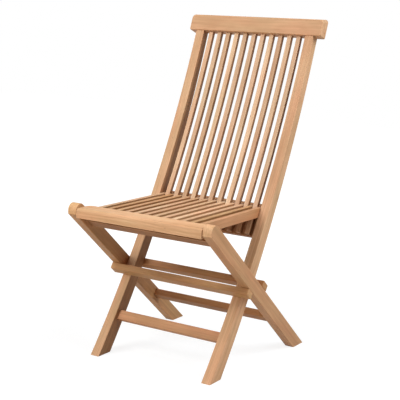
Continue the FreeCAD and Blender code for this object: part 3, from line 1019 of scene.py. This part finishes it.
seat_middle = (SEAT_TOP + SEAT_LOW) / 2
strips_from = board_high.y - FOOT_Y
strips_to = rear_low.y - FOOT_Y
strip_path = [side_point(y, seat_middle) for y in (strips_from - TUCK, strips_to / 2, strips_to + TUCK)]
slats("seat_slats", strip_path, "seat", ["seat_side_rail_left", "seat_side_rail_right"]
      + [f"seat_slat_{i:02d}" for i in range(1, SLATS)],
      bleached=0.7, Count=SLATS + 1, Thickness=SEAT_TOP - SEAT_LOW, Seed=271, Darkest=0.0)

# %% [markdown]
# ## Pins, washers and dowels
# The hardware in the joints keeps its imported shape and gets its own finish: drawn steel pins,
# brass washers and paler dowels. All three are made alike: a noise mixes two colours, and
# another is drawn out into lines that break up the gloss and stand out a little.

# %% Metal and dowel finishes
DULL_SHARE = 0.72
DOWEL_GRAIN = (700.0, 90.0, 90.0)


def small_finish(name, stops, spots_scale, lines_scale, smooth, uneven, relief, metallic=0.0):
    """Finish of a small part: two colours in spots, and fine lines with a little relief."""
    made, tree = empty_material(name)
    place = node(tree, "ShaderNodeTexCoord", (-1000, 0)).outputs["Object"]
    lines = stretched_noise(tree, place, (-800, 0), lines_scale)
    spots = stretched_noise(tree, place, (-800, -300), spots_scale)
    rough = maths(tree, "MULTIPLY_ADD", (-350, -250), lines, uneven, smooth)
    shader = node(tree, "ShaderNodeBsdfPrincipled", (0, 0), Base_Color=ramp(tree, (-350, 100), spots, stops),
                  Metallic=metallic, Roughness=rough, Normal=bumped(tree, (-200, -450), lines, *relief))
    node(tree, "ShaderNodeOutputMaterial", (300, 0), Surface=shader.outputs["BSDF"])
    return made


def metal(name, colour, smooth):
    """Drawn or turned metal with a few dull spots."""
    dull = tuple(v * DULL_SHARE for v in colour)
    return small_finish(name, [(0.35, dull), (0.65, colour)], (120.0, 120.0, 120.0), (60.0, 900.0, 900.0),
                        smooth, uneven=0.25, relief=(0.2, 0.0001), metallic=1.0)


steel = metal("drawn_steel", (0.56, 0.56, 0.57), 0.28)
brass = metal("turned_brass", (0.78, 0.60, 0.28), 0.34)
dowel_wood = small_finish("dowel_wood", [(0.3, rgb(190, 150, 104)), (0.7, rgb(220, 184, 138))],
                          DOWEL_GRAIN, DOWEL_GRAIN, smooth=0.6, uneven=0.2, relief=(0.3, 0.0002))
finishes = {"cross_pivot_pins": steel, "seat_pivot_pins": steel, "cross_pivot_washers": brass,
            "seat_pivot_washers": brass, "stop_rail_dowels": dowel_wood}
for name, finish in finishes.items():
    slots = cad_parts[name].data.materials
    slots.clear()
    slots.append(finish)
print("finished nodes:", sorted(finishes))

# %% [markdown]
# ## Floor
# The chair stands on a plain white floor in soft studio light. To the camera and to glossy
# faces the floor is nearly as bright as white paper, so it melts into the background, but it
# takes a faint shadow from the feet. Near the chair it glows a little less, which gives the
# feet something to stand on. For the light that falls back up on the chair it is a pale floor.

# %% Floor
FLOOR_HALF = 6.0
FLOOR_COLOUR = (0.72, 0.69, 0.65)
SHADOW_CATCH = (0.22, 0.22, 0.22)
WHITE = (1.0, 1.0, 1.0)
GLOW_NEAR = 0.86
GLOW_FAR = 1.0
NEAR_CHAIR = 0.5
FAR_FROM_CHAIR = 1.6


def split_by_ray(tree, for_light, for_sight):
    """One shader for the light that falls on things, another for the camera, gloss and glass."""
    rays = node(tree, "ShaderNodeLightPath", (-600, 300)).outputs
    mirrored = maths(tree, "MAXIMUM", (-500, 200), rays["Is Glossy Ray"], rays["Is Transmission Ray"])
    seen = maths(tree, "MAXIMUM", (-400, 300), rays["Is Camera Ray"], mirrored)
    choice = node(tree, "ShaderNodeMixShader", (300, 0), Fac=seen)
    feed(tree, choice.inputs[1], for_light.outputs[0])
    feed(tree, choice.inputs[2], for_sight.outputs[0])
    return choice.outputs["Shader"]


sheet_mesh = bpy.data.meshes.new("floor")
sheet_mesh.from_pydata([(-FLOOR_HALF, -FLOOR_HALF, 0), (FLOOR_HALF, -FLOOR_HALF, 0),
                        (FLOOR_HALF, FLOOR_HALF, 0), (-FLOOR_HALF, FLOOR_HALF, 0)], [], [(0, 1, 2, 3)])
floor = placed("floor", sheet_mesh)
paper, tree = empty_material("paper_floor")
matt = node(tree, "ShaderNodeBsdfDiffuse", (-200, 0), Color=FLOOR_COLOUR)
spot = node(tree, "ShaderNodeTexCoord", (-1000, -300)).outputs["Object"]
reach = node(tree, "ShaderNodeVectorMath", (-800, -300), operation="LENGTH", Vector=spot).outputs["Value"]
fade = between(tree, (-600, -300), reach, NEAR_CHAIR, FAR_FROM_CHAIR, GLOW_NEAR, GLOW_FAR, "SMOOTHSTEP")
glow = node(tree, "ShaderNodeEmission", (-400, -300), Color=WHITE, Strength=fade)
shadow_catch = node(tree, "ShaderNodeBsdfDiffuse", (-400, -150), Color=SHADOW_CATCH)
white = node(tree, "ShaderNodeAddShader", (-200, -200))
feed(tree, white.inputs[0], shadow_catch.outputs["BSDF"])
feed(tree, white.inputs[1], glow.outputs["Emission"])
node(tree, "ShaderNodeOutputMaterial", (600, 0), Surface=split_by_ray(tree, matt, white))
sheet_mesh.materials.append(paper)
print("floor is", 2 * FLOOR_HALF, "m wide")

# %% [markdown]
# ## Light
# In the photograph the faces that look to the front and to the picture's left are light, and those between
# the bars that look to its right are deep brown. A warm soft lamp in front and to the left and a larger,
# cooler one above it give most of that, and painted shade in the teak darkens the faces between the bars
# further. A third, cool lamp high on the right keeps the outer sides there from going dark. The world adds
# only a little light of its own, and shows the camera a white background.

# %% World and lamps
AROUND = 0.05
LAMP_AIM = Vector((0.0, 0.0, 0.45))
world = bpy.data.worlds.new("studio")
bpy.context.scene.world = world
world.use_nodes = True
tree = world.node_tree
tree.nodes.clear()
around = node(tree, "ShaderNodeBackground", (-200, 0), Color=WHITE, Strength=AROUND)
backdrop = node(tree, "ShaderNodeBackground", (-200, -200), Color=WHITE, Strength=1.0)
node(tree, "ShaderNodeOutputWorld", (600, 0), Surface=split_by_ray(tree, around, backdrop))

# Each lamp: its name, place, width in metres, power in watts, and colour
LAMPS = [("front_lamp", (-1.8, -2.8, 2.0), 1.6, 44.0, (1.0, 0.95, 0.86)),
         ("high_lamp", (-1.1, -2.2, 3.15), 1.8, 74.0, (0.91, 0.95, 1.0)),
         ("right_lamp", (2.1, 0.4, 2.5), 2.0, 86.0, (0.85, 0.93, 1.0))]
for name, place, size, power, tone in LAMPS:
    lamp = bpy.data.lights.new(name, "AREA")
    lamp.shape = "SQUARE"
    lamp.size = size
    lamp.energy = power
    lamp.color = tone
    holder = placed(name, lamp)
    holder.location = place
    holder.rotation_euler = (LAMP_AIM - Vector(place)).to_track_quat("-Z", "Y").to_euler()
    print(name, "gives", power, "W")
bpy.context.scene.view_settings.view_transform = "Standard"
